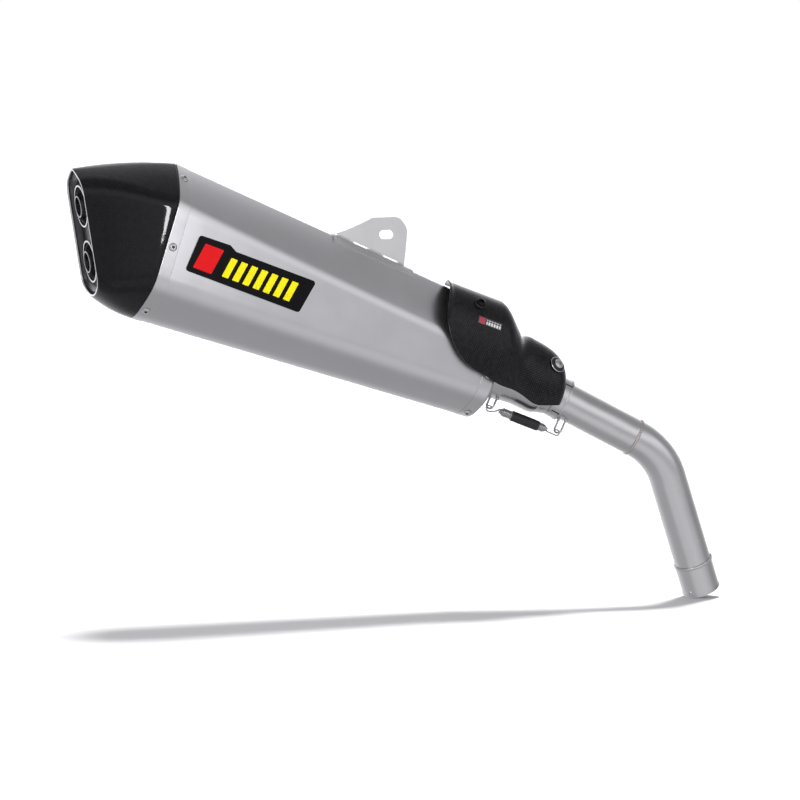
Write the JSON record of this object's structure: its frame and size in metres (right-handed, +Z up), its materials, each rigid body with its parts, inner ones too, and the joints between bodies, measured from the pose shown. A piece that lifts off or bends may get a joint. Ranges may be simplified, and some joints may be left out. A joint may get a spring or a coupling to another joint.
{
  "type": "exhaust muffler",
  "caption": "Tapered six-sided slip-on muffler with twin outlets, riveted carbon end cap, heat shield, hanger plate and a bent link pipe held by a hooked spring.",
  "frame": {"origin": "centre of the link pipe's socket mouth", "axes": "+X to the front of the motorcycle along the muffler, +Y to the middle of the motorcycle, +Z up"},
  "size_m": [0.8221, 0.1338, 0.5383],
  "materials": {
    "pipe_steel": "brushed stainless tube",
    "weld_bead": "bright weld bead",
    "hook_wire": "bright wire",
    "graphite": "pressed graphite",
    "neck_steel": "satin stainless",
    "cap_steel": "satin stainless",
    "band_steel": "satin stainless strap",
    "rivet_steel": "bright rivet",
    "canister_metal": "fine brushed, bead blasted",
    "carbon_cap": "clear-coated carbon weave",
    "inner_steel": "plain steel",
    "dark_plate": "black coated",
    "outlet_steel": "polished",
    "insert_steel": "satin",
    "screw_steel": "bright screw",
    "wool": "glass wool",
    "hanger_metal": "bead blasted",
    "carbon_shield": "clear-coated carbon weave",
    "rubber_black": "matt rubber",
    "badge_black": "gloss black print",
    "badge_red": "gloss enamel",
    "badge_yellow": "gloss enamel",
    "label_red": "foil",
    "spring_steel": "bright spring wire"
  },
  "bodies": {
    "link_pipe": {"inlet_sleeve": "pipe_steel", "sleeve_weld": "weld_bead", "lower_tube": "pipe_steel", "pipe_bend": "pipe_steel", "bend_weld": "weld_bead", "upper_tube": "pipe_steel", "spring_eye": "hook_wire"},
    "seal_ring": {"seal_ring": "graphite"},
    "muffler": {"inlet_collar": "neck_steel", "inlet_neck": "neck_steel", "neck_weld": "weld_bead", "front_cap": "cap_steel", "front_band": "band_steel", "front_rivets": "rivet_steel", "canister_sleeve": "canister_metal", "rear_band": "band_steel", "rear_rivets": "rivet_steel", "end_cap": "carbon_cap", "tail_liner": "inner_steel", "outlet_plate": "dark_plate", "outlet_tube_upper": "outlet_steel", "outlet_tube_lower": "outlet_steel", "front_baffle": "inner_steel", "rear_baffle": "inner_steel", "perforated_core": "inner_steel", "packing_wool": "wool", "hanger_saddle": "hanger_metal", "hanger_plate": "hanger_metal", "hanger_welds": "weld_bead", "heat_shield": "carbon_shield", "shield_posts": "neck_steel", "shield_washers": "rubber_black", "shield_screws": "screw_steel", "badge_plate": "badge_black", "badge_block": "badge_red", "badge_bars": "badge_yellow", "shield_label": "label_red", "spring_tab": "hook_wire", "retaining_spring": "spring_steel", "spring_boot": "rubber_black"},
    "insert_upper": {"noise_insert_upper": "insert_steel", "insert_screw_upper": "screw_steel"},
    "insert_lower": {"noise_insert_lower": "insert_steel", "insert_screw_lower": "screw_steel"}
  },
  "joints": [
    {"name": "slip_joint", "type": "slide", "parent": "link_pipe", "child": "seal_ring", "axis": [-0.8739, 0.1369, 0.4664], "range_m": [0, 0.006], "stiffness_N_per_m": 8000, "springref_m": -0.01, "deforming": ["retaining_spring", "spring_boot"]},
    {"name": "neck_swivel", "type": "hinge", "parent": "seal_ring", "child": "muffler", "pos_m": [-0.20309, -0.01648, 0.24516], "axis": [-0.8739, 0.1369, 0.4664], "range_deg": [-8, 8], "deforming": ["retaining_spring", "spring_boot"]},
    {"name": "insert_upper_slide", "type": "slide", "parent": "muffler", "child": "insert_upper", "axis": [-0.9876, 0, -0.1573], "range_m": [0, 0.055]},
    {"name": "insert_lower_slide", "type": "slide", "parent": "muffler", "child": "insert_lower", "axis": [-0.9876, 0, -0.1573], "range_m": [0, 0.055]}
  ]
}
